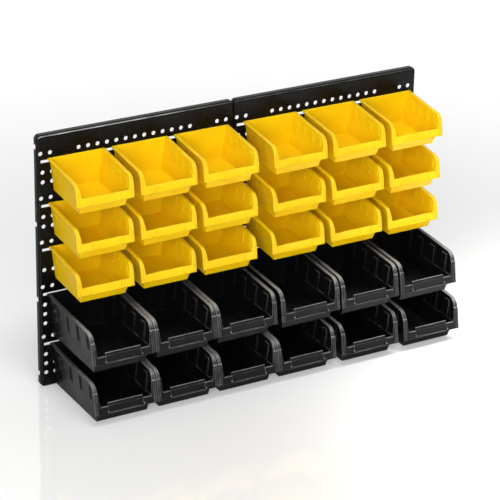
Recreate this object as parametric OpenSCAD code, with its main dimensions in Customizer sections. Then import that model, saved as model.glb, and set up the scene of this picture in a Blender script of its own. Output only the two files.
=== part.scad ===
// Wall-mounted bin rack: two perforated steel panels side by side, with small and large
// bins that hang by a rear lip in the panels' slots.
// X runs along the panels to the right, Y points into the wall and Z points up.
// The origin lies on the panels' front face, in the middle of the four wall screws.

/* [Panels] */
// Width of one panel over its bends
panel_width = 325; // [290:1:360]
// Height of a panel over its bends
panel_height = 406; // [404:1:412]
// Depth of a panel from the wall to its front face
panel_depth = 11; // [9:0.5:14]
// Thickness of the steel sheet
sheet = 1.2; // [1:0.1:1.5]
// Outer radius of the bends
bend_radius = 4; // [3:0.5:5]
// Radius of a panel's corners, seen from the front
corner_radius = 7; // [5.5:0.5:9]
// Distance from a panel's top edge down to the first row of holes
top_margin = 28; // [26:1:32]

/* [Perforation] */
// Diameter of the round holes
hole_diameter = 6.6; // [5:0.1:7.5]
// Spacing of the holes in the rows above the slots
upper_pitch = 15.3; // [15:0.1:15.4]
// Spacing of the holes in the rows below the slots
lower_pitch = 15; // [14.8:0.1:15.2]
// Width of a panel that its rows of holes leave free
hole_margin = 16; // [14:0.5:18]
// How far the panels sit to the right of their holes' middle
panel_shift = 4; // [0:0.5:4]
// Height of the hanging slots
slot_height = 4.6; // [4.4:0.1:5]
// Height of the first row of holes above its slot
upper_hole_rise = 12.5; // [11:0.5:14]
// Distance from a slot down to the first row of holes below it
lower_hole_drop = 17; // [15:0.5:18]

/* [Side flanges] */
// Diameter of the joining holes in the side flanges
joint_hole = 3.4; // [3.2:0.1:3.8]
// Distance from a slot down to the joining hole beside it
joint_drop = 5; // [3:0.5:7]
// Clearance between a nut and the bend beside it
joint_gap = 0.2; // [0.2:0.1:0.4]
// Height of the cut-outs in the rear edge of the side flanges
notch_height = 8; // [6:1:12]
// Depth of those cut-outs
notch_depth = 5.5; // [3:0.5:5.5]
// Spacing of the cut-outs
notch_pitch = 122; // [116:1:124]
// Distance from a panel's top edge down to the middle of the first cut-out
notch_margin = 19; // [17:1:22]

/* [Rows] */
// Spacing of the slots that carry the small bins
small_row_pitch = 70; // [68:1:74]
// Distance from the last small row's slot to the first large row's slot
middle_row_pitch = 72; // [70:1:76]
// Spacing of the slots that carry the large bins
large_row_pitch = 82; // [81:1:84]
// Width of a panel that its row of bins leaves free
row_margin = 15.4; // [14.8:0.1:17.2]
// How far the bins sit to the right of their panel's middle
bin_shift = 7; // [4:0.5:8]
// How much further to the right the lowest row hangs
bottom_row_shift = 3.5; // [0:0.5:4]
// How much further to the left the large bins hang on the right panel
large_left_shift = 6; // [0:0.5:6]
// Extra spacing of the first large row on the right panel
large_spread = 2.7; // [0:0.1:4]
// Extra spacing of the lowest row on the right panel
bottom_spread = 9.8; // [0:0.1:10]

/* [Small bins] */
// Space between two bins of a row
small_gap = 11.2; // [9:0.1:14]
// Depth from the back wall to the front lip
small_depth = 99; // [96:0.5:102]
// Height from the foot to the rim
small_height = 52; // [50:0.5:54]
// Drop from the rim to the top of the front wall
small_front_drop = 25; // [22:0.5:27]
// Drop from the rim to the lower edge of the front lip
small_lip_drop = 36.5; // [35:0.5:39]
// Width of the foot
small_foot_width = 73; // [70:0.5:76]
// How far the foot stands behind the front lip
small_foot_back = 11; // [8:0.5:14]
// Radius of the front corner of the side walls
small_corner = 12; // [9:0.5:14]
// How far the rim's front corner stands behind the front lip
small_corner_back = 6; // [4:0.5:9]
// Height of the rim above the slot
small_rim_rise = 4.5; // [4:0.5:5]
// How far the rim falls towards the front
small_rim_fall = 4.5; // [0:0.5:6]
// How far the front lip stands out over the foot
small_lip_out = 6; // [4:0.5:8]
// Lean of the back wall, and so of the bin when it hangs
small_tilt = 3.5; // [0:0.5:4]
// Width of the label seat
small_label = 50; // [46:0.5:54]
// Width of the hanging lip
small_hook = 55; // [50:0.5:57]
// Distance from the back wall to the first upright groove in the side walls
small_groove_first = 16.5; // [15:0.5:18]
// Spacing of those grooves
small_groove_pitch = 21.5; // [20:0.5:22]
// Width of those grooves
small_groove_width = 5; // [4:0.5:6]
// Depth of those grooves
small_groove_depth = 0.7; // [0.4:0.1:1]

/* [Large bins] */
// Space between two bins of a row
large_gap = 1.2; // [0.8:0.1:3]
// Depth from the back wall to the front lip
large_depth = 153; // [150:0.5:158]
// Height from the foot to the rim
large_height = 70.5; // [69:0.5:71.5]
// Drop from the rim to the top of the front wall
large_front_drop = 41.5; // [39:0.5:43]
// Drop from the rim to the lower edge of the front lip
large_lip_drop = 53; // [51:0.5:56]
// Width of the foot
large_foot_width = 83; // [80:0.5:85]
// How far the foot stands behind the front lip
large_foot_back = 16; // [13:0.5:19]
// Radius of the front corner of the side walls
large_corner = 15; // [12:0.5:18]
// How far the rim's front corner stands behind the front lip
large_corner_back = 8; // [5:0.5:12]
// Height of the rim above the slot
large_rim_rise = 1; // [0.5:0.5:3]
// How far the rim falls towards the front
large_rim_fall = 6.5; // [0:0.5:8]
// How far the front lip stands out over the foot
large_lip_out = 10; // [7:0.5:12]
// Lean of the back wall, and so of the bin when it hangs
large_tilt = 0; // [0:0.5:0.5]
// Width of the label seat
large_label = 57; // [52:0.5:62]
// How far the wall behind the label stands up over the rest of the front wall
large_label_rise = 4.5; // [1:0.5:6]
// Width of the hanging lip
large_hook = 61; // [55:0.5:63]
// Distance from the back wall to the first upright groove in the side walls
large_groove_first = 23.5; // [20:0.5:26]
// Spacing of those grooves
large_groove_pitch = 33; // [31:0.5:34]
// Width of those grooves
large_groove_width = 9; // [7:0.5:11]
// Depth of those grooves
large_groove_depth = 1.6; // [1:0.1:1.6]

/* [Bin walls] */
// Thickness of the side and back walls
wall = 2; // [1.8:0.1:2.4]
// Thickness of the floor
floor_thickness = 2; // [1.6:0.1:2.6]
// Thickness of the front wall
front_wall = 3; // [2.6:0.1:3.4]
// How far the rim stands out from the side walls
rim_overhang = 3; // [2:0.1:4]
// Height of the rim
rim_height = 3; // [2.4:0.1:4]
// How far the grooves in the side walls start below the rim
groove_drop = 4; // [3:0.5:5]
// How far they end above the level of the front wall
groove_rise = 4; // [3:0.5:6]
// How far the rail inside the large bins' side walls stands out
rail = 1.2; // [0.8:0.1:1.6]
// Height of that rail
rail_height = 1.6; // [1.2:0.1:2]
// Width of the beads down the front frame
bead_width = 1.2; // [0.8:0.1:1.4]
// How far the beads stand out
bead_rise = 0.7; // [0.4:0.1:1]
// Distance from a bin's side to the middle of its first bead
bead_inset = 1.4; // [1:0.1:2]
// Spacing of the two beads
bead_pitch = 3; // [2.4:0.1:3.4]

/* [Label seats] */
// Depth of the label seat
label_recess = 1.4; // [0.8:0.1:1.6]
// Height of the ledge under the label
ledge_height = 1.6; // [1.2:0.1:2]
// How far the ledge stands out
ledge = 1.2; // [0.8:0.1:1.6]
// Height of the ledge's upturned ends
ledge_end_height = 3.2; // [2:0.1:4]
// Width of those ends
ledge_end_width = 1.6; // [1.2:0.1:2]

/* [Hanging lip] */
// Thickness of the lip
lip_thickness = 1.6; // [1.4:0.1:1.8]
// How far the lip reaches behind the panel's front face
lip_reach = 7; // [5:0.5:8]
// Slope of the lip, and of the way the bin comes off
lip_angle = 25; // [20:1:30]
// Clearance between a hung bin and the panel
hang_gap = 0.35; // [0.3:0.05:0.5]

/* [Joining bolts] */
// Diameter of the bolts
bolt_diameter = 3; // [2.5:0.5:3]
// Length of a bolt under its head
bolt_length = 8; // [6:1:12]
// Diameter of a bolt's head
bolt_head = 5.5; // [5:0.1:6]
// Height of a bolt's head
bolt_head_height = 2; // [1.6:0.1:2.4]
// Width of a nut across its flats
nut_width = 5.5; // [5:0.1:5.7]
// Height of a nut
nut_height = 2.4; // [2:0.1:2.8]

/* [Hidden] */
$fn = 48;
small_rows = 3;
large_rows = 2;
bin_columns = 6;
per_panel = 3;
// Every other row of joining holes has a bolt
bolt_rows = [0, 2, 4];

// A row's bins share the width of their panel
bin_pitch = (panel_width - row_margin) / per_panel;
small_width = bin_pitch - small_gap;
large_width = bin_pitch - large_gap;

// Heights above the first row of holes, then shifted so that the origin is midway
// between the first and the last of those rows
slot_drops = [
    upper_hole_rise,
    upper_hole_rise + small_row_pitch,
    upper_hole_rise + 2 * small_row_pitch,
    upper_hole_rise + 2 * small_row_pitch + middle_row_pitch,
    upper_hole_rise + 2 * small_row_pitch + middle_row_pitch + large_row_pitch
];
row_count = small_rows + large_rows;
first_hole_z = (slot_drops[row_count - 1] - slot_drops[0]) / 2;
slot_z = [for (drop = slot_drops) first_hole_z - drop];
panel_top = first_hole_z + top_margin;
panel_bottom = panel_top - panel_height;
panel_middle = (panel_top + panel_bottom) / 2;

// Rows of holes below each slot, counted in spacings from the first of them
lower_rows = [[0, 1], [0, 1], [1], [0, 1, 2], [0, 1, 2]];
// Columns that the rows above the slots leave out, counted from either end
plain_columns = [2, 3];
last_column = floor((panel_width - hole_margin) / upper_pitch);
// Middle of a panel's holes, left and right of the origin
hole_middle = panel_width / 2;

nut_diameter = nut_width / cos(30);
joint_y = bend_radius + joint_gap + nut_diameter / 2;
joint_z = [for (z = slot_z) z - joint_drop];
last_notch = floor((panel_height - notch_margin - notch_height) / notch_pitch);

// One bin's sizes, gathered so that both kinds share their modules
WIDTH = 0;
DEPTH = 1;
HEIGHT = 2;
FRONT_DROP = 3;
LIP_DROP = 4;
FOOT_WIDTH = 5;
FOOT_BACK = 6;
CORNER = 7;
CORNER_BACK = 8;
RIM_RISE = 9;
RIM_FALL = 10;
LIP_OUT = 11;
TILT = 12;
LABEL = 13;
HOOK = 14;
GROOVE_FIRST = 15;
GROOVE_PITCH = 16;
GROOVE_WIDTH = 17;
GROOVE_DEPTH = 18;
small = [
    small_width, small_depth, small_height, small_front_drop, small_lip_drop, small_foot_width,
    small_foot_back, small_corner, small_corner_back, small_rim_rise, small_rim_fall, small_lip_out,
    small_tilt, small_label, small_hook, small_groove_first, small_groove_pitch, small_groove_width,
    small_groove_depth
];
large = [
    large_width, large_depth, large_height, large_front_drop, large_lip_drop, large_foot_width,
    large_foot_back, large_corner, large_corner_back, large_rim_rise, large_rim_fall, large_lip_out,
    large_tilt, large_label, large_hook, large_groove_first, large_groove_pitch, large_groove_width,
    large_groove_depth
];

small_names = [
    for (row = [1:small_rows], column = [1:bin_columns]) str("small_bin_", row, "_", column)
];
large_names = [
    for (row = [small_rows + 1:row_count], column = [1:bin_columns]) str("large_bin_", row, "_", column)
];

// Middle of a bin along X, by its row and column from 1
function bin_x(row, column) =
    let (
        side = column > per_panel ? 1 : -1,
        place = (column - 1) % per_panel - 1,
        bottom_row = row == row_count,
        large_on_right = row > small_rows && side > 0,
        spread = !large_on_right ? 0 : bottom_row ? bottom_spread : large_spread
    )
    side * hole_middle + bin_shift + place * (bin_pitch + spread)
        + (bottom_row ? bottom_row_shift : 0) - (large_on_right ? large_left_shift : 0);

// Half the outer width of a bin's side walls at a drop below the rim
function wall_half(bin, drop) =
    let (rim_half = bin[WIDTH] / 2 - rim_overhang)
    rim_half - (rim_half - bin[FOOT_WIDTH] / 2) * drop / bin[HEIGHT];

// How far out the sloping front line is at a drop below the rim
function front_at(bin, drop) =
    bin[DEPTH] - bin[CORNER_BACK] * (bin[LIP_DROP] - drop) / (bin[LIP_DROP] - bin[RIM_FALL]);

// Draws a side view, forward to the right, and gives it a width along X
module across(width) {
    rotate([90, 0, -90])
        linear_extrude(width, center = true)
            children();
}

// Draws a front view and gives it a depth towards the viewer
module forward(depth) {
    rotate([90, 0, 0])
        linear_extrude(depth)
            children();
}

// A copy on the left and one on the right of a bin's middle
module both_sides(offset_x) {
    for (side = [-1, 1])
        translate([side * offset_x, 0, 0])
            children();
}

// Side view of a whole bin: falling rim, rounded corner, sloping front, lip, foot and back
module side_outline(bin) {
    corner_x = bin[DEPTH] - bin[CORNER_BACK];
    rim_slope = atan2(bin[RIM_FALL], corner_x);
    front_slope = atan2(bin[CORNER_BACK], bin[LIP_DROP] - bin[RIM_FALL]);
    tangent = bin[CORNER] / tan((90 + front_slope - rim_slope) / 2);
    rim_end = [corner_x - tangent * cos(rim_slope), -bin[RIM_FALL] + tangent * sin(rim_slope)];
    polygon([
        [0, 0],
        rim_end,
        [corner_x + tangent * sin(front_slope), -bin[RIM_FALL] - tangent * cos(front_slope)],
        [bin[DEPTH], -bin[LIP_DROP]],
        [bin[DEPTH] - bin[LIP_OUT], -bin[LIP_DROP]],
        [bin[DEPTH] - bin[FOOT_BACK], -bin[HEIGHT]],
        [bin[HEIGHT] * tan(bin[TILT]), -bin[HEIGHT]]
    ]);
    translate(rim_end - bin[CORNER] * [sin(rim_slope), cos(rim_slope)])
        circle(bin[CORNER]);
}

// Side view of the room inside, open above the front wall
module side_room(bin) {
    floor_drop = bin[HEIGHT] - floor_thickness;
    step_drop = bin[LIP_DROP] - wall;
    polygon([
        [wall, 1],
        [bin[DEPTH] + 1, 1],
        [bin[DEPTH] + 1, -bin[FRONT_DROP]],
        [front_at(bin, bin[FRONT_DROP]) - front_wall, -bin[FRONT_DROP]],
        [front_at(bin, step_drop) - front_wall, -step_drop],
        [bin[DEPTH] - bin[LIP_OUT] - wall, -step_drop],
        [bin[DEPTH] - bin[FOOT_BACK] - wall, -floor_drop],
        [wall + floor_drop * tan(bin[TILT]), -floor_drop]
    ]);
}

// Front view of the leaning side walls, thinned by a wall for the room inside
module front_outline(bin, inset) {
    upper = wall_half(bin, 0) - inset;
    foot = wall_half(bin, bin[HEIGHT]) - inset;
    above = inset > 0 ? 2 : 0;
    polygon([
        [-upper, above],
        [upper, above],
        [upper, 0],
        [foot, -bin[HEIGHT]],
        [-foot, -bin[HEIGHT]],
        [-upper, 0]
    ]);
}

// Thin open-topped body of a bin
module bin_body(bin) {
    difference() {
        intersection() {
            across(bin[WIDTH])
                side_outline(bin);
            forward(bin[DEPTH] + 1)
                front_outline(bin, 0);
        }
        intersection() {
            across(bin[WIDTH])
                side_room(bin);
            forward(bin[DEPTH] + 2)
                front_outline(bin, wall);
        }
    }
}

// Flat band across the whole front, between the opening and the foot
module front_lip(bin) {
    across(bin[WIDTH])
        polygon([
            [front_at(bin, bin[FRONT_DROP]) - front_wall, -bin[FRONT_DROP]],
            [front_at(bin, bin[FRONT_DROP]), -bin[FRONT_DROP]],
            [bin[DEPTH], -bin[LIP_DROP]],
            [bin[DEPTH] - front_wall, -bin[LIP_DROP]]
        ]);
}

// Side view of the band along the rim and down the front edges
module rim_outline(bin) {
    difference() {
        side_outline(bin);
        translate([-rim_height, -rim_height])
            side_outline(bin);
        translate([-1, -bin[HEIGHT] - 1])
            square([bin[DEPTH] + 2, bin[HEIGHT] + 1 - bin[LIP_DROP]]);
        translate([-1, -bin[HEIGHT] - 1])
            square([rim_height + 2, bin[HEIGHT] + 1 - rim_height]);
    }
}

// Rim along both sides, flush with the room inside, running on as the frame of the front opening
module bin_rim(bin) {
    difference() {
        across(bin[WIDTH])
            rim_outline(bin);
        translate([0, wall, 0])
            forward(bin[DEPTH] + 2 * wall)
                front_outline(bin, wall);
    }
}

// Raised beads down the front of the frame, two on each side
module frame_beads(bin) {
    for (inset = [bead_inset, bead_inset + bead_pitch])
        both_sides(bin[WIDTH] / 2 - inset)
            across(bead_width)
                intersection() {
                    translate([bead_rise, 0])
                        rim_outline(bin);
                    translate([bin[DEPTH] - bin[CORNER_BACK] - bin[CORNER] / 2, -bin[LIP_DROP]])
                        square([bin[DEPTH], bin[LIP_DROP] - bin[CORNER] / 3]);
                }
}

// Puts children, drawn with X out of the wall and Z up it, on both side walls at a drop below the rim
module on_walls(bin, drop, inset) {
    lean = atan2(wall_half(bin, 0) - wall_half(bin, drop), drop);
    for (side = [0, 1])
        mirror([side, 0, 0])
            translate([wall_half(bin, drop) - inset, 0, -drop])
                rotate([0, lean, 0])
                    children();
}

// One upright for each groove of a side wall, of a thickness, widened and heightened all round
module groove_row(bin, bottom, thickness, extra) {
    last = floor((bin[DEPTH] - bin[CORNER_BACK] - bin[CORNER] - bin[GROOVE_FIRST]) / bin[GROOVE_PITCH]);
    top = rim_height + bin[RIM_FALL] + groove_drop;
    for (index = [0:last])
        translate([0, -bin[GROOVE_FIRST] - index * bin[GROOVE_PITCH] - bin[GROOVE_WIDTH] - extra, -extra])
            cube([thickness, bin[GROOVE_WIDTH] + 2 * extra, bottom - top + 2 * extra]);
}

// Upright grooves in the outside of the side walls
module wall_grooves(bin) {
    bottom = bin[FRONT_DROP] - groove_rise;
    on_walls(bin, bottom, bin[GROOVE_DEPTH])
        groove_row(bin, bottom, bin[GROOVE_DEPTH] + wall, 0);
}

// The same grooves seen from inside, where the wall stands out by as much
module wall_bosses(bin) {
    bottom = bin[FRONT_DROP] - groove_rise;
    on_walls(bin, bottom, wall + bin[GROOVE_DEPTH])
        groove_row(bin, bottom, (bin[GROOVE_DEPTH] + wall) / 2, wall);
}

// Rail inside the side walls, level with the front wall, from the middle of the bin to its front
module wall_rails(bin) {
    start = bin[GROOVE_FIRST] + bin[GROOVE_PITCH];
    end = front_at(bin, bin[FRONT_DROP]) - front_wall / 2;
    on_walls(bin, bin[FRONT_DROP], wall + rail)
        translate([0, -end, 0])
            cube([rail + wall / 2, end - start, rail_height]);
}

// Flat seat for a label card, open at the top of the front wall
module label_seat(bin) {
    seat_drop = bin[LIP_DROP] - ledge_height;
    across(bin[LABEL])
        polygon([
            [front_at(bin, bin[FRONT_DROP]) - label_recess, 1 - bin[FRONT_DROP]],
            [bin[DEPTH] + 1, 1 - bin[FRONT_DROP]],
            [bin[DEPTH] + 1, -seat_drop],
            [front_at(bin, seat_drop) - label_recess, -seat_drop]
        ]);
}

// Plate behind the label that stands up over the front wall
module label_plate(bin, rise) {
    root = bin[FRONT_DROP] + front_wall;
    top = bin[FRONT_DROP] - rise;
    across(bin[LABEL])
        polygon([
            [front_at(bin, root) - front_wall, -root],
            [front_at(bin, root) - label_recess, -root],
            [front_at(bin, top) - label_recess, -top],
            [front_at(bin, top) - front_wall, -top]
        ]);
}

// Ledge under the label seat, with upturned ends that keep the card in
module label_ledge(bin) {
    out = bin[DEPTH];
    top = -bin[LIP_DROP] + ledge_height;
    across(bin[LABEL] + 2 * ledge_end_width)
        polygon([
            [out - front_wall, -bin[LIP_DROP]],
            [out - front_wall, top],
            [out + ledge, top],
            [out + ledge, top - ledge_height / 2],
            [out, -bin[LIP_DROP]]
        ]);
    both_sides((bin[LABEL] + ledge_end_width) / 2)
        across(ledge_end_width)
            polygon([
                [out - front_wall / 2, top - ledge_height / 2],
                [out - front_wall / 2, top + ledge_end_height],
                [out + ledge, top + ledge_end_height - ledge],
                [out + ledge, top - ledge_height / 2]
            ]);
}

// Lip that slopes down through the slot and behind the panel
module hanging_lip(bin) {
    slot_drop = bin[RIM_RISE];
    seat = -slot_drop - slot_height / 2 + hang_gap;
    rise = tan(lip_angle);
    thickness = lip_thickness / cos(lip_angle);
    inner = wall / 2;
    behind = lip_reach + hang_gap;
    rear_face = sheet + hang_gap;
    across(bin[HOOK])
        polygon([
            [inner, seat + (inner + rear_face) * rise],
            [inner, seat + (inner + rear_face) * rise + thickness],
            [-behind, seat + (rear_face - behind) * rise + thickness],
            [-behind, seat + (rear_face - behind) * rise]
        ]);
}

// A bin of either kind, with its rim's rear edge at the origin
module bin_shape(bin) {
    rotate([bin[TILT], 0, 0])
        union() {
            difference() {
                union() {
                    bin_body(bin);
                    bin_rim(bin);
                    front_lip(bin);
                }
                label_seat(bin);
                wall_grooves(bin);
            }
            wall_bosses(bin);
            frame_beads(bin);
            label_ledge(bin);
        }
    hanging_lip(bin);
}

// Place of a bin in its row and column, both counted from 1
module hung(bin, row, column) {
    translate([bin_x(row, column), -hang_gap, slot_z[row - 1] + bin[RIM_RISE]])
        children();
}

module small_bin(row, column) {
    color("gold")
        hung(small, row, column)
            bin_shape(small);
}

module large_bin(row, column) {
    color("dimgray")
        hung(large, row, column)
            union() {
                bin_shape(large);
                rotate([large_tilt, 0, 0]) {
                    wall_rails(large);
                    label_plate(large, large_label_rise);
                }
            }
}

// Section of a panel's edge: flat in front, then bent back to a depth
module edge_section(reach, depth, bend) {
    square([reach - bend, depth]);
    translate([0, bend])
        square([reach, depth - bend]);
    translate([reach - bend, bend])
        circle(bend);
}

// Block with a bent front edge that runs round its corners
module pan_block(width, height, depth, corner, bend) {
    straight_x = width - 2 * corner;
    straight_z = height - 2 * corner;
    translate([-straight_x / 2, 0, -straight_z / 2])
        cube([straight_x, depth, straight_z]);
    for (side = [0, 1])
        mirror([side, 0, 0])
            translate([straight_x / 2, 0, 0])
                linear_extrude(straight_z, center = true)
                    edge_section(corner, depth, bend);
    for (side = [0, 1])
        mirror([0, 0, side])
            translate([0, 0, straight_z / 2])
                rotate([0, -90, 0])
                    linear_extrude(straight_x, center = true)
                        edge_section(corner, depth, bend);
    for (side_x = [-1, 1], side_z = [-1, 1])
        translate([side_x * straight_x / 2, 0, side_z * straight_z / 2])
            rotate([-90, 0, 0])
                rotate_extrude()
                    intersection() {
                        edge_section(corner, depth, bend);
                        square([corner, depth]);
                    }
}

// Front view of every slot of a panel and its holes in some columns, about the holes' middle in X
module perforation(columns) {
    half_span = last_column / 2 * upper_pitch;
    for (row = [0:row_count - 1]) {
        translate([-half_span, slot_z[row] - slot_height / 2])
            square([2 * half_span, slot_height]);
        for (column = columns)
            if (!in_list(min(column, last_column - column), plain_columns))
                translate([column * upper_pitch - half_span, slot_z[row] + upper_hole_rise])
                    circle(d = hole_diameter);
        for (line = lower_rows[row], column = columns)
            translate([
                (column - last_column / 2) * lower_pitch,
                slot_z[row] - lower_hole_drop - line * upper_pitch
            ])
                circle(d = hole_diameter);
    }
}

function in_list(value, list) = len(search(value, list)) > 0;

// The flat front of a panel with its holes
module panel_face() {
    flat_width = panel_width - 2 * corner_radius;
    flat_height = panel_height - 2 * corner_radius;
    translate([0, sheet, 0])
        forward(sheet)
            difference() {
                translate([-flat_width / 2, panel_middle - flat_height / 2])
                    square([flat_width, flat_height]);
                translate([-panel_shift, 0])
                    perforation([0:last_column]);
            }
}

// The bent edges of a panel, with the notches and joining holes of its side flanges
module panel_edges() {
    flat_width = panel_width - 2 * corner_radius;
    flat_height = panel_height - 2 * corner_radius;
    hole_depth = bend_radius / 2 + sheet;
    difference() {
        translate([0, 0, panel_middle])
            pan_block(panel_width, panel_height, panel_depth, corner_radius, bend_radius);
        translate([0, sheet, panel_middle])
            pan_block(
                panel_width - 2 * sheet, panel_height - 2 * sheet, panel_depth,
                corner_radius - sheet, bend_radius - sheet
            );
        translate([-flat_width / 2, -1, panel_middle - flat_height / 2])
            cube([flat_width, panel_depth, flat_height]);
        translate([-panel_shift, hole_depth, 0])
            forward(hole_depth + 1)
                perforation([0, last_column]);
        for (index = [0:last_notch])
            translate([
                -panel_width / 2 - 1,
                panel_depth - notch_depth,
                panel_top - notch_margin - index * notch_pitch - notch_height / 2
            ])
                cube([panel_width + 2, notch_depth + 1, notch_height]);
        for (z = joint_z)
            translate([0, joint_y, z])
                rotate([0, 90, 0])
                    cylinder(panel_width + 2, d = joint_hole, center = true);
    }
}

module wall_panel() {
    color([0.08, 0.08, 0.085])
        union() {
            panel_face();
            panel_edges();
        }
}

module left_panel() {
    translate([panel_shift - panel_width / 2, 0, 0])
        wall_panel();
}

module right_panel() {
    translate([panel_shift + panel_width / 2, 0, 0])
        wall_panel();
}

// Bolts through the two side flanges at the seam, heads on the left
module joining_bolts() {
    color("silver")
        for (row = bolt_rows)
            translate([panel_shift - sheet, joint_y, joint_z[row]])
                rotate([0, 90, 0]) {
                    translate([0, 0, -bolt_head_height])
                        cylinder(bolt_head_height, d = bolt_head);
                    cylinder(bolt_length, d = bolt_diameter);
                }
}

// Nuts on the right of the seam
module joining_nuts() {
    color("silver")
        for (row = bolt_rows)
            translate([panel_shift + sheet, joint_y, joint_z[row]])
                rotate([0, 90, 0])
                    difference() {
                        cylinder(nut_height, d = nut_diameter, $fn = 6);
                        translate([0, 0, -1])
                            cylinder(nut_height + 2, d = bolt_diameter);
                    }
}

left_panel();
right_panel();
joining_bolts();
joining_nuts();
for (row = [1:small_rows], column = [1:bin_columns])
    small_bin(row, column);
for (row = [small_rows + 1:row_count], column = [1:bin_columns])
    large_bin(row, column);
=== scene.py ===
"""Wall-mounted bin rack: finishes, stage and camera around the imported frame."""

import math

import bmesh
import bpy
from bpy.props import FloatProperty, FloatVectorProperty, PointerProperty
from mathutils import Matrix, Vector


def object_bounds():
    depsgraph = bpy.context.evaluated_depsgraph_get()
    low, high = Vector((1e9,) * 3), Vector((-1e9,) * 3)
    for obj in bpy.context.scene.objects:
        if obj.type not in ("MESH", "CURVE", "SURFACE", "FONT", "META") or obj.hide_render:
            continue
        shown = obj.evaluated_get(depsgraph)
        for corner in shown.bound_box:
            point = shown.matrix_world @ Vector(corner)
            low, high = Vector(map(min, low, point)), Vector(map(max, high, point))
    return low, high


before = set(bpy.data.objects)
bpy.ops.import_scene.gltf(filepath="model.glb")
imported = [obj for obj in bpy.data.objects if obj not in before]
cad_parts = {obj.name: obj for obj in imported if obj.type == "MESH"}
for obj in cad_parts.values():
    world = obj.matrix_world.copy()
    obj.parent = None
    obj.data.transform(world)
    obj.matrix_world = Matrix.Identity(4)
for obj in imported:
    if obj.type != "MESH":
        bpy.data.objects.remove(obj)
CAD_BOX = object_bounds()

bl_info = {
    "name": "Bin Rack Finishes",
    "version": (1, 0, 0),
    "blender": (4, 5, 0),
    "location": "View3D > Sidebar > Bin Rack",
    "description": "Dresses a wall-mounted bin rack: powder-coated panels, moulded bins and a pale stage",
    "category": "Object",
}

PANELS = ("left_panel", "right_panel")
FASTENERS = ("joining_bolts", "joining_nuts")
SMALL_BINS = tuple(sorted(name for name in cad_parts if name.startswith("small_bin")))
LARGE_BINS = tuple(sorted(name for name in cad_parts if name.startswith("large_bin")))

# Places and distances in metres. X points to the right, Y to the wall and Z up.
EDGE_REACH = 0.05  # how far off a piece's own walls count as sheltering an edge
RIM_REACH = 0.12  # the same for the top of a rim
BIN_HIGHLIGHT_FADE = (-0.075, -0.135)  # Y where the painted highlight on a large bin is weakest, and full
BEND_HIGHLIGHT_FADE = (-0.16, -0.02)  # X where the painted highlight on the upper bend is strongest, and weakest
FLOOR_FADE = (0.45, 1.6)  # distances over which the floor turns whiter
CAMERA_CLIP = (0.05, 60.0)

# The white backdrop stands behind the rack. These are a direction's Y where the dim room in front ends
# and where the backdrop is full.
ROOM_END = (-0.35, 0.2)

SENSOR_WIDTH = 36.0  # mm
WAVE_SHARE = 2.2  # height of the flow waves, against that of the grain
STREAK_TURN = (0.5, 0.3, 0.2)
STREAK_STRETCH = (9.0, 0.7, 6.0)
CLOUD_TONE = 0.99  # tone of the floor's cloudy patches
WHITE = (1.0, 1.0, 1.0, 1.0)
BEVEL_SAMPLES = 6
SHELTER_SAMPLES = 8

# A Mix node's sockets for colours have the same names as its other ones, so they go by number.
MIX_COLOURS = (6, 7)
MIX_RESULT = 2


def colour(name, default, description):
    """A colour that a user can change."""
    return FloatVectorProperty(
        name=name, description=description, subtype="COLOR", size=3, min=0.0, max=1.0, default=default)


def share(name, default, description):
    """A number from 0 to 1 that a user can change."""
    return FloatProperty(
        name=name, description=description, subtype="FACTOR", min=0.0, max=1.0, default=default)


def length(name, default, description):
    """A size in metres that a user can change."""
    return FloatProperty(
        name=name, description=description, subtype="DISTANCE", unit="LENGTH", min=0.0, default=default)


def position(name, default, description):
    """A place in metres that a user can change."""
    return FloatVectorProperty(
        name=name, description=description, subtype="TRANSLATION", unit="LENGTH", size=3, default=default)


def angle(name, degrees, description):
    """An angle that a user can change."""
    return FloatProperty(
        name=name, description=description, subtype="ANGLE", unit="ROTATION",
        default=math.radians(degrees))


def power(name, default, description):
    """A lamp's power in watts that a user can change."""
    return FloatProperty(name=name, description=description, unit="POWER", min=0.0, default=default)


class PanelFinish(bpy.types.PropertyGroup):
    """Black powder coat of the two panels"""

    coat: colour("Coat", (0.0018, 0.0017, 0.0015), "Colour of the powder coat")
    # painted highlight: this colour paints the upper outer edges lighter, and also colours real scuff
    # marks from use
    rubbed_and_painted_bright: colour("Rubbed", (0.05, 0.05, 0.05), "Colour where hands and bins have rubbed it")
    # painted highlight: this colour is painted along the upper bend as its glint, fading from the left end
    # to the right
    bend: colour("Bend", (0.42, 0.42, 0.415), "Colour of the upper bend, which hands have polished")
    roughness: share("Roughness", 0.26, "Mean roughness of the coat")
    gloss: share("Gloss", 0.17, "Strength of the coat's reflections")
    peel: length("Orange peel", 0.00005, "Height of the coat's fine ripples")
    edge: length("Edge radius", 0.0006, "How far the edges look rounded")
    # painted highlight: width of the lighter edge band, and how strongly it is painted
    rub: length("Rubbed width", 0.0005, "How far the edges are rubbed")
    edge_highlight: share("Edge wear", 0.5, "How strongly the edges are rubbed")
    marks: share("Marks", 0.22, "How strongly use has marked the coat")


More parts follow.
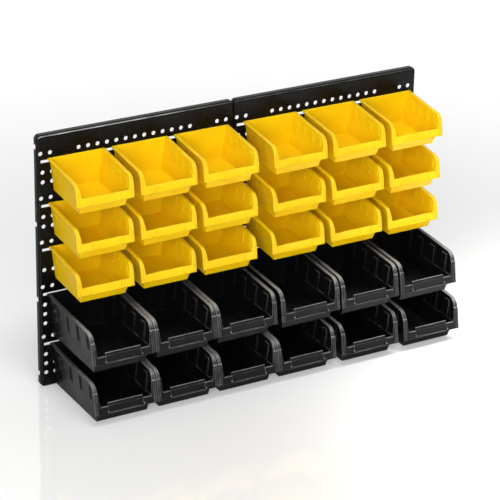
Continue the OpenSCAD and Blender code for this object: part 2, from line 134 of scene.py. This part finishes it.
class YellowFinish(bpy.types.PropertyGroup):
    """Yellow plastic of the small bins"""

    plastic: colour("Plastic", (0.85, 0.56, 0.004), "Colour of the plastic")
    deep: colour("Deep", (0.81, 0.51, 0.003), "Colour of its cloudy, deeper patches")
    # painted highlight: this paler colour is painted along the upper outer edges
    pale: colour("Pale", (0.92, 0.70, 0.06), "Colour of the paler edges")
    roughness: share("Roughness", 0.34, "Mean roughness of the moulded skin")
    gloss: share("Gloss", 0.22, "Strength of the plastic's reflections")
    glow: share("Glow", 0.5, "How much light passes into the thin walls")
    glow_depth: length("Glow depth", 0.004, "How far the light passes into them")
    glow_colour: colour("Glow colour", (1.0, 0.45, 0.04), "Share of that depth for red, green and blue")
    grain: length("Grain", 0.00004, "Height of the moulded grain")
    edge: length("Edge radius", 0.0016, "How far the edges look rounded")
    # painted highlight: width of the paler edge band, and how strongly it is painted
    rub: length("Rubbed width", 0.0012, "How far the edges are paler")
    edge_highlight: share("Edge wear", 0.8, "How much paler the edges are")
    marks: share("Marks", 0.25, "How strongly use has marked the plastic")


class BlackFinish(bpy.types.PropertyGroup):
    """Black plastic of the large bins"""

    plastic: colour("Plastic", (0.004, 0.004, 0.004), "Colour of the plastic")
    # painted highlight: this grey paints the upper outer edges and the rim tops lighter, and also colours
    # real scuff marks
    rubbed_and_painted_bright: colour("Rubbed", (0.42, 0.42, 0.41), "Colour of scuffed edges")
    roughness: share("Roughness", 0.30, "Mean roughness of the moulded skin")
    gloss: share("Gloss", 0.30, "Strength of the plastic's reflections")
    grain: length("Grain", 0.00006, "Height of the moulded grain")
    edge: length("Edge radius", 0.0025, "How far the edges look rounded")
    # painted highlight: width of the grey edge band, its strength on edges and rim tops, and its smaller
    # share at the back of a bin
    rub: length("Rubbed width", 0.0012, "How far the edges are rubbed")
    edge_highlight: share("Edge wear", 0.9, "How strongly the edges are rubbed")
    rim_highlight: share("Rim wear", 0.55, "How strongly the tops of the rims are rubbed")
    back_highlight: share("Back wear", 0.14, "Share of that rubbing at the back of a bin")
    marks: share("Marks", 0.054, "How strongly use has marked the plastic")


class ZincFinish(bpy.types.PropertyGroup):
    """Zinc plating of the joining bolts and nuts"""

    bright: colour("Bright", (0.62, 0.63, 0.65), "Colour of the plating")
    dull: colour("Dull", (0.40, 0.41, 0.42), "Colour of its dull patches")
    roughness: share("Roughness", 0.32, "Mean roughness of the plating")
    grain: length("Grain", 0.00002, "Height of the plating's grain")
    edge: length("Edge radius", 0.0004, "How far the edges look rounded")


class StageSettings(bpy.types.PropertyGroup):
    """Pale floor, soft lamps and the camera"""

    floor: colour("Floor", (0.62, 0.62, 0.615), "Colour of the floor")
    polish: FloatProperty(
        name="Polish", description="Refractive index of the floor's polish", min=1.0, default=1.7)
    near_white: share("Near white", 0.28, "How much whiter the camera sees the floor near the rack")
    far_white: share("Far white", 0.56, "How much whiter the camera sees the floor further off")
    floor_size: length("Floor size", 30.0, "Width of the floor")
    floor_gap: length("Floor gap", 0.0006, "Distance from the rack's lowest edge down to the floor")
    key: power("Key", 112.0, "Power of the large lamp in front")
    key_place: position("Key place", (-2.0, -2.9, 1.3), "Place of the large lamp")
    key_size: length("Key size", 2.2, "Width of the large lamp")
    top: power("Top", 20.0, "Power of the lamp overhead")
    top_place: position("Top place", (-0.25, -0.9, 2.1), "Place of the lamp overhead")
    top_size: length("Top size", 0.6, "Width of the lamp overhead")
    pool: power("Pool", 420.0, "Power of the lamp over the floor on the right")
    pool_place: position("Pool place", (0.64, -0.60, 1.5), "Place of the lamp over the floor on the right")
    pool_cone: angle("Pool cone", 44.0, "Full angle of that lamp's cone")
    pool_blend: share("Pool blend", 0.9, "How softly its cone ends")
    pool_size: length("Pool size", 0.25, "Radius of that lamp")
    air: share("Air", 0.38, "Strength of the light from all round")
    dim: share("Dim", 0.15, "Strength of the room in front of the rack, as seen in reflections")
    lens: FloatProperty(
        name="Lens", description="Focal length in mm", subtype="DISTANCE_CAMERA", unit="CAMERA",
        min=20.0, default=169.8)
    camera: position("Camera", (-1.6322, -2.8765, 1.4284), "Place of the camera")
    yaw: angle("Yaw", 30.122, "Turn of the camera to the right")
    pitch: angle("Pitch", 24.364, "Tilt of the camera downwards")
    roll: angle("Roll", 1.195, "Turn of the camera about its view")


class RackSettings(bpy.types.PropertyGroup):
    """Everything that the panel in the sidebar shows"""

    panels: PointerProperty(name="Panels", description="Finish of the panels", type=PanelFinish)
    yellow: PointerProperty(name="Small bins", description="Finish of the small bins", type=YellowFinish)
    black: PointerProperty(name="Large bins", description="Finish of the large bins", type=BlackFinish)
    zinc: PointerProperty(name="Fasteners", description="Finish of the bolts and nuts", type=ZincFinish)
    stage: PointerProperty(name="Stage", description="Floor, lamps and camera", type=StageSettings)


def fill(tree, made, values):
    """Gives a node's sockets a value each, or a link from another node's output."""
    for name, value in values.items():
        socket = made.inputs[name]
        if isinstance(value, bpy.types.NodeSocket):
            tree.links.new(value, socket)
        else:
            socket.default_value = value


def node(tree, kind, values=None, **settings):
    """A new node with its properties set and its sockets filled."""
    made = tree.nodes.new(kind)
    for name, value in settings.items():
        setattr(made, name, value)
    fill(tree, made, values or {})
    return made


def maths(tree, operation, *values, clamp=False):
    """The result of a Math node."""
    made = node(tree, "ShaderNodeMath", dict(enumerate(values)), operation=operation, use_clamp=clamp)
    return made.outputs["Value"]


def product(tree, first, *others):
    """Several values multiplied."""
    for other in others:
        first = maths(tree, "MULTIPLY", first, other)
    return first


def ramp(tree, value, start=0.0, end=1.0, low=0.0, high=1.0, kind="LINEAR"):
    """A value that goes from low to high as another goes from start to end."""
    made = node(tree, "ShaderNodeMapRange", {
        "Value": value, "From Min": start, "From Max": end, "To Min": low, "To Max": high},
        interpolation_type=kind)
    return made.outputs["Result"]


def vary(tree, mask, middle, below, above):
    """A value that goes from below to above a middle one, by a mask."""
    return ramp(tree, mask, low=middle - below, high=middle + above)


def noise(tree, place, scale, detail, roughness=0.5, distortion=0.0):
    """Cloudy noise from 0 to 1."""
    made = node(tree, "ShaderNodeTexNoise", {
        "Vector": place, "Scale": scale, "Detail": detail,
        "Roughness": roughness, "Distortion": distortion})
    return made.outputs["Fac"]


def own_place(tree):
    """The place on a piece, in the frame's metres."""
    return node(tree, "ShaderNodeTexCoord").outputs["Object"]


def facing(tree):
    """The way that the surface faces."""
    return node(tree, "ShaderNodeNewGeometry").outputs["Normal"]


def parts(tree, vector):
    """A vector's X, Y and Z."""
    return node(tree, "ShaderNodeSeparateXYZ", {"Vector": vector}).outputs


def rounded(tree, radius):
    """The way that the surface would face with its edges rounded."""
    return node(tree, "ShaderNodeBevel", {"Radius": radius}, samples=BEVEL_SAMPLES).outputs["Normal"]


def openness(tree, reach):
    """How open the surface is, from 0 to 1. Only the piece's own walls count, as other pieces move."""
    made = node(tree, "ShaderNodeAmbientOcclusion", {"Distance": reach},
                samples=SHELTER_SAMPLES, only_local=True)
    return made.outputs["AO"]


def bump(tree, height, distance, normal):
    """A surface with a bump of a height in metres on top of its rounded edges."""
    made = node(tree, "ShaderNodeBump", {
        "Height": height, "Distance": distance, "Strength": 1.0, "Normal": normal})
    return made.outputs["Normal"]


def mix_colours(tree, mask, first, second):
    """A colour between two, by a mask."""
    made = node(tree, "ShaderNodeMix", {"Factor": mask}, data_type="RGBA")
    for number, value in zip(MIX_COLOURS, (first, second)):
        linked = isinstance(value, bpy.types.NodeSocket)
        fill(tree, made, {number: value if linked else (*value, 1.0)})
    return made.outputs[MIX_RESULT]


def new_group(name, inputs, outputs):
    """An empty shader node group with number inputs and typed outputs."""
    group = bpy.data.node_groups.new(name, "ShaderNodeTree")
    for label, default in inputs.items():
        socket = group.interface.new_socket(label, in_out="INPUT", socket_type="NodeSocketFloat")
        socket.default_value = default
    for label, kind in outputs.items():
        group.interface.new_socket(label, in_out="OUTPUT", socket_type=kind)
    given = group.nodes.new("NodeGroupInput").outputs
    return group, given, group.nodes.new("NodeGroupOutput")


def moulded_grain(name):
    """Fine spark-eroded grain over faint flow waves, as a height, with a cloudy tone mask."""
    group, given, result = new_group(
        name, {"Grain scale": 900.0, "Wave scale": 26.0},
        {"Height": "NodeSocketFloat", "Tone": "NodeSocketFloat"})
    place = own_place(group)
    fine = noise(group, place, given["Grain scale"], detail=3.0, roughness=0.6)
    wave = noise(group, place, given["Wave scale"], detail=2.0, distortion=0.4)
    fill(group, result, {
        "Height": maths(group, "MULTIPLY_ADD", wave, WAVE_SHARE, fine),
        "Tone": ramp(group, wave, start=0.35, end=0.68)})
    return group


def handling_marks(name):
    """Long faint scuffs from use, here and there, as a mask."""
    group, given, result = new_group(name, {"Amount": 0.5, "Scale": 40.0}, {"Mask": "NodeSocketFloat"})
    place = own_place(group)
    drawn = node(group, "ShaderNodeMapping", {
        "Vector": place, "Rotation": STREAK_TURN, "Scale": STREAK_STRETCH}).outputs["Vector"]
    streaks = noise(group, drawn, given["Scale"], detail=4.0, roughness=0.62)
    patches = noise(group, place, scale=17.0, detail=2.0)
    thin = ramp(group, streaks, start=0.60, end=0.74)
    here = ramp(group, patches, start=0.48, end=0.66)
    fill(group, result, {"Mask": product(group, thin, here, given["Amount"])})
    return group


def soft_edges(name):
    """Rounded normals at the edges, and a mask of the outer edges, where a lighter edge highlight is
    painted.
    """
    group, given, result = new_group(
        name, {"Radius": 0.001, "Rub": 0.001}, {"Normal": "NodeSocketVector", "Edge": "NodeSocketFloat"})
    turned = rounded(group, given["Rub"])
    agree = node(group, "ShaderNodeVectorMath", {0: turned, 1: facing(group)}, operation="DOT_PRODUCT")
    edge = ramp(group, agree.outputs["Value"], start=0.985, end=0.84)
    outer = ramp(group, openness(group, EDGE_REACH), start=0.50, end=0.80)
    # painted highlight: upper edges get more of it than lower ones, since light falls from above, and none
    # of them evenly
    upper = ramp(group, parts(group, turned)["Z"], start=-0.1, end=0.6, low=0.25)
    patchy = noise(group, own_place(group), scale=70.0, detail=3.0)
    uneven = ramp(group, patchy, start=0.36, end=0.60, low=0.45)
    fill(group, result, {
        "Normal": rounded(group, given["Radius"]),
        "Edge": product(group, edge, outer, upper, uneven)})
    return group


GROUPS = {"Moulded grain": moulded_grain, "Handling marks": handling_marks, "Soft edges": soft_edges}


def place_group(tree, name, **values):
    """A shared group's outputs in a material, with its own values. The first call builds the group."""
    shared = bpy.data.node_groups.get(name) or GROUPS[name](name)
    labelled = {label.replace("_", " ").capitalize(): value for label, value in values.items()}
    return node(tree, "ShaderNodeGroup", labelled, node_tree=shared).outputs


def new_material(name):
    """A material with only its output and a Principled BSDF."""
    material = bpy.data.materials.new(name)
    material.use_nodes = True
    tree = material.node_tree
    tree.nodes.clear()
    shader = node(tree, "ShaderNodeBsdfPrincipled")
    node(tree, "ShaderNodeOutputMaterial", {"Surface": shader.outputs["BSDF"]})
    return material, tree, shader


def powder_coat(finish):
    """Black powder coat with fine orange peel, painted a little lighter at its edges as a highlight, with
    scuff marks from use, and painted much lighter on its upper bend as a highlight.
    """
    material, tree, shader = new_material("black powder coat")
    grain = place_group(tree, "Moulded grain", grain_scale=1400.0, wave_scale=420.0)
    marks = place_group(tree, "Handling marks", amount=finish.marks, scale=30.0)
    edges = place_group(tree, "Soft edges", radius=finish.edge, rub=finish.rub)
    # painted highlight on the upper outer edges, plus real scuff marks, both in the lighter colour
    lightened = maths(tree, "MULTIPLY_ADD", edges["Edge"], finish.edge_highlight, marks["Mask"], clamp=True)
    coat = mix_colours(tree, lightened, finish.coat, finish.rubbed_and_painted_bright)
    # painted highlight: the bend along the top faces both up and forward, and is painted lighter there as
    # its glint
    way = parts(tree, facing(tree))
    up = ramp(tree, way["Z"], start=0.25, end=0.42)
    forward = ramp(tree, way["Y"], start=-0.68, end=-0.84)
    place = own_place(tree)
    uneven = ramp(tree, noise(tree, place, scale=34.0, detail=4.0), start=0.32, end=0.60, low=0.45)
    # the painted highlight on the bend is strongest at the left end and fades towards the right
    highlight_fade = ramp(tree, parts(tree, place)["X"], *BEND_HIGHLIGHT_FADE, low=1.0, high=0.2)
    bend = product(tree, up, forward, uneven, highlight_fade)
    fill(tree, shader, {
        "Base Color": mix_colours(tree, bend, coat, finish.bend),
        "Roughness": vary(tree, grain["Tone"], finish.roughness, below=0.04, above=0.06),
        "Specular IOR Level": finish.gloss,
        "Normal": bump(tree, grain["Height"], finish.peel, edges["Normal"])})
    return material


def yellow_plastic(finish):
    """Semi-gloss yellow plastic, a little cloudy, which lets some light through its walls."""
    material, tree, shader = new_material("yellow plastic")
    grain = place_group(tree, "Moulded grain", grain_scale=1100.0, wave_scale=24.0)
    marks = place_group(tree, "Handling marks", amount=finish.marks, scale=36.0)
    edges = place_group(tree, "Soft edges", radius=finish.edge, rub=finish.rub)
    cloudy = mix_colours(tree, grain["Tone"], finish.plastic, finish.deep)
    # painted highlight: the upper outer edges are painted paler
    paler = ramp(tree, edges["Edge"], high=finish.edge_highlight)
    fill(tree, shader, {
        "Base Color": mix_colours(tree, paler, cloudy, finish.pale),
        "Roughness": vary(tree, marks["Mask"], finish.roughness, below=0.0, above=0.16),
        "Specular IOR Level": finish.gloss,
        "Subsurface Weight": finish.glow,
        "Subsurface Radius": finish.glow_colour,
        "Subsurface Scale": finish.glow_depth,
        "Normal": bump(tree, grain["Height"], finish.grain, edges["Normal"])})
    return material


def black_plastic(finish):
    """Satin black plastic with a fine grain, painted grey along its edges and rim tops as a highlight,
    with real scuff marks.
    """
    material, tree, shader = new_material("black plastic")
    grain = place_group(tree, "Moulded grain", grain_scale=950.0, wave_scale=30.0)
    marks = place_group(tree, "Handling marks", amount=finish.marks, scale=44.0)
    edges = place_group(tree, "Soft edges", radius=finish.edge, rub=finish.rub)
    # painted highlight: the tops of the rims and of the front wall, which face up, are painted grey all
    # across
    upward = ramp(tree, parts(tree, facing(tree))["Z"], start=0.45, end=0.85)
    rim = ramp(tree, openness(tree, RIM_REACH), start=0.66, end=0.86, high=finish.rim_highlight)
    lightened = maths(tree, "MULTIPLY_ADD", edges["Edge"], finish.edge_highlight, product(tree, rim, upward))
    # the painted highlight on edges and rim tops fades to a small share at the back of a bin; real scuff
    # marks are added after
    highlight_fade = ramp(tree, parts(tree, own_place(tree))["Y"], *BIN_HIGHLIGHT_FADE, low=finish.back_highlight)
    scuffed_and_painted_bright = maths(tree, "MULTIPLY_ADD", lightened, highlight_fade, marks["Mask"], clamp=True)
    fill(tree, shader, {
        "Base Color": mix_colours(tree, scuffed_and_painted_bright, finish.plastic, finish.rubbed_and_painted_bright),
        "Roughness": vary(tree, grain["Tone"], finish.roughness, below=0.05, above=0.07),
        "Specular IOR Level": finish.gloss,
        "Normal": bump(tree, grain["Height"], finish.grain, edges["Normal"])})
    return material


def zinc_plate(finish):
    """Bright zinc with dull patches."""
    material, tree, shader = new_material("zinc plate")
    grain = place_group(tree, "Moulded grain", grain_scale=2200.0, wave_scale=300.0)
    edges = place_group(tree, "Soft edges", radius=finish.edge)
    fill(tree, shader, {
        "Base Color": mix_colours(tree, grain["Tone"], finish.bright, finish.dull),
        "Roughness": vary(tree, grain["Tone"], finish.roughness, below=0.06, above=0.12),
        "Metallic": 1.0,
        "Normal": bump(tree, grain["Height"], finish.grain, edges["Normal"])})
    return material


def dress(names, material):
    """Gives CAD nodes their material."""
    for name in names:
        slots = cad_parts[name].material_slots
        if not slots:
            raise RuntimeError(f"{name} has no material slot to fill")
        for slot in slots:
            slot.material = material


class RACK_OT_panels(bpy.types.Operator):
    """Coat both panels with black powder"""

    bl_idname = "rack.panels"
    bl_label = "Panels"

    def execute(self, context):
        dress(PANELS, powder_coat(context.scene.rack.panels))
        return {"FINISHED"}


class RACK_OT_fasteners(bpy.types.Operator):
    """Plate the joining bolts and nuts with zinc"""

    bl_idname = "rack.fasteners"
    bl_label = "Bolts and nuts"

    def execute(self, context):
        dress(FASTENERS, zinc_plate(context.scene.rack.zinc))
        return {"FINISHED"}


class RACK_OT_small_bins(bpy.types.Operator):
    """Give the small bins their yellow plastic"""

    bl_idname = "rack.small_bins"
    bl_label = "Small bins"

    def execute(self, context):
        dress(SMALL_BINS, yellow_plastic(context.scene.rack.yellow))
        return {"FINISHED"}


class RACK_OT_large_bins(bpy.types.Operator):
    """Give the large bins their black plastic"""

    bl_idname = "rack.large_bins"
    bl_label = "Large bins"

    def execute(self, context):
        dress(LARGE_BINS, black_plastic(context.scene.rack.black))
        return {"FINISHED"}


def pale_floor(settings):
    """Pale polished floor, which keeps the rack's shadow and reflection and is whiter further off."""
    material, tree, shader = new_material("pale floor")
    place = own_place(tree)
    cloud = noise(tree, place, scale=3.0, detail=3.0)
    cloudy = [part * CLOUD_TONE for part in settings.floor]
    away = node(tree, "ShaderNodeVectorMath", {0: place}, operation="LENGTH").outputs["Value"]
    white = ramp(
        tree, away, *FLOOR_FADE, low=settings.near_white, high=settings.far_white, kind="SMOOTHSTEP")
    seen = node(tree, "ShaderNodeLightPath").outputs["Is Camera Ray"]
    fill(tree, shader, {
        "Base Color": mix_colours(tree, cloud, settings.floor, cloudy),
        "Roughness": ramp(tree, cloud, low=0.05, high=0.08),
        "IOR": settings.polish,
        "Emission Color": WHITE,
        "Emission Strength": product(tree, white, seen)})
    return material


def add_object(name, data):
    """A new object in the scene."""
    made = bpy.data.objects.new(name, data)
    bpy.context.scene.collection.objects.link(made)
    return made


def make_floor(settings, level):
    """A flat floor at a level."""
    mesh = bpy.data.meshes.new("floor")
    shape = bmesh.new()
    bmesh.ops.create_grid(shape, x_segments=1, y_segments=1, size=settings.floor_size / 2)
    bmesh.ops.translate(shape, verts=shape.verts, vec=(0.0, 0.0, level))
    shape.to_mesh(mesh)
    shape.free()
    mesh.materials.append(pale_floor(settings))
    floor = add_object("floor", mesh)


def make_lamp(name, place, target, size, watts):
    """A square soft lamp that faces a target."""
    data = bpy.data.lights.new(name, "AREA")
    data.shape = "SQUARE"
    data.size = size
    data.energy = watts
    lamp = add_object(name, data)
    lamp.location = place
    lamp.rotation_mode = "QUATERNION"
    lamp.rotation_quaternion = (target - place).to_track_quat("-Z", "Y")


def make_pool(settings):
    """A soft pool of light on the floor, which the rack's glossy fronts mirror."""
    data = bpy.data.lights.new("pool", "SPOT")
    data.energy = settings.pool
    data.spot_size = settings.pool_cone
    data.spot_blend = settings.pool_blend
    data.shadow_soft_size = settings.pool_size
    lamp = add_object("pool", data)
    lamp.location = settings.pool_place


def make_air(settings):
    """Even light from all round, with a backdrop that is white to the camera and in reflections."""
    world = bpy.data.worlds.new("studio")
    bpy.context.scene.world = world
    world.use_nodes = True
    tree = world.node_tree
    tree.nodes.clear()
    ray = node(tree, "ShaderNodeLightPath").outputs
    seen = maths(tree, "MAXIMUM", ray["Is Camera Ray"], ray["Is Glossy Ray"])
    seen = maths(tree, "MAXIMUM", seen, ray["Is Transmission Ray"])
    # the room in front of the rack is dim in reflections
    way = parts(tree, node(tree, "ShaderNodeTexCoord").outputs["Generated"])
    room = ramp(tree, way["Y"], *ROOM_END, low=settings.dim)
    room = maths(tree, "MAXIMUM", room, ray["Is Camera Ray"])
    level = ramp(tree, seen, low=settings.air, high=room)
    sky = node(tree, "ShaderNodeBackground", {"Color": WHITE, "Strength": level})
    node(tree, "ShaderNodeOutputWorld", {"Surface": sky.outputs["Background"]})


def make_camera(settings):
    """The camera, turned by its yaw, pitch and roll."""
    data = bpy.data.cameras.new("camera")
    data.sensor_width = SENSOR_WIDTH
    data.lens = settings.lens
    data.clip_start, data.clip_end = CAMERA_CLIP
    camera = add_object("camera", data)
    yaw, pitch, roll = settings.yaw, settings.pitch, settings.roll
    view = Vector((math.sin(yaw) * math.cos(pitch), math.cos(yaw) * math.cos(pitch), -math.sin(pitch)))
    level_right = Vector((math.cos(yaw), -math.sin(yaw), 0.0))
    level_up = level_right.cross(view)
    right = level_right * math.cos(roll) + level_up * math.sin(roll)
    up = level_up * math.cos(roll) - level_right * math.sin(roll)
    turn = Matrix((right, up, -view)).transposed()
    camera.matrix_world = Matrix.Translation(settings.camera) @ turn.to_4x4()
    bpy.context.scene.camera = camera


class RACK_OT_stage(bpy.types.Operator):
    """Lay the floor, hang the lamps and place the camera"""

    bl_idname = "rack.stage"
    bl_label = "Stage"

    def execute(self, context):
        settings = context.scene.rack.stage
        low, high = CAD_BOX
        middle = (low + high) / 2
        make_floor(settings, low.z - settings.floor_gap)
        make_air(settings)
        make_lamp("key", settings.key_place, middle, settings.key_size, settings.key)
        make_lamp("top", settings.top_place, middle, settings.top_size, settings.top)
        make_pool(settings)
        make_camera(settings)
        context.scene.view_settings.view_transform = "Standard"
        return {"FINISHED"}


class RACK_PT_sidebar(bpy.types.Panel):
    """Finishes of the bin rack"""

    bl_idname = "RACK_PT_sidebar"
    bl_label = "Bin Rack"
    bl_space_type = "VIEW_3D"
    bl_region_type = "UI"
    bl_category = "Bin Rack"

    def draw(self, context):
        settings = context.scene.rack
        for operator, group in (
                ("rack.panels", settings.panels), ("rack.fasteners", settings.zinc),
                ("rack.small_bins", settings.yellow), ("rack.large_bins", settings.black),
                ("rack.stage", settings.stage)):
            box = self.layout.box()
            box.operator(operator)
            for name in group.__annotations__:
                box.prop(group, name)


CLASSES = (
    PanelFinish, YellowFinish, BlackFinish, ZincFinish, StageSettings, RackSettings,
    RACK_OT_panels, RACK_OT_fasteners, RACK_OT_small_bins, RACK_OT_large_bins, RACK_OT_stage,
    RACK_PT_sidebar,
)


def register():
    for cls in CLASSES:
        bpy.utils.register_class(cls)
    bpy.types.Scene.rack = PointerProperty(type=RackSettings)


def unregister():
    del bpy.types.Scene.rack
    for cls in reversed(CLASSES):
        bpy.utils.unregister_class(cls)


def main():
    register()
    bpy.ops.rack.panels()
    bpy.ops.rack.fasteners()
    bpy.ops.rack.small_bins()
    bpy.ops.rack.large_bins()
    bpy.ops.rack.stage()


if __name__ == "__main__":
    main()
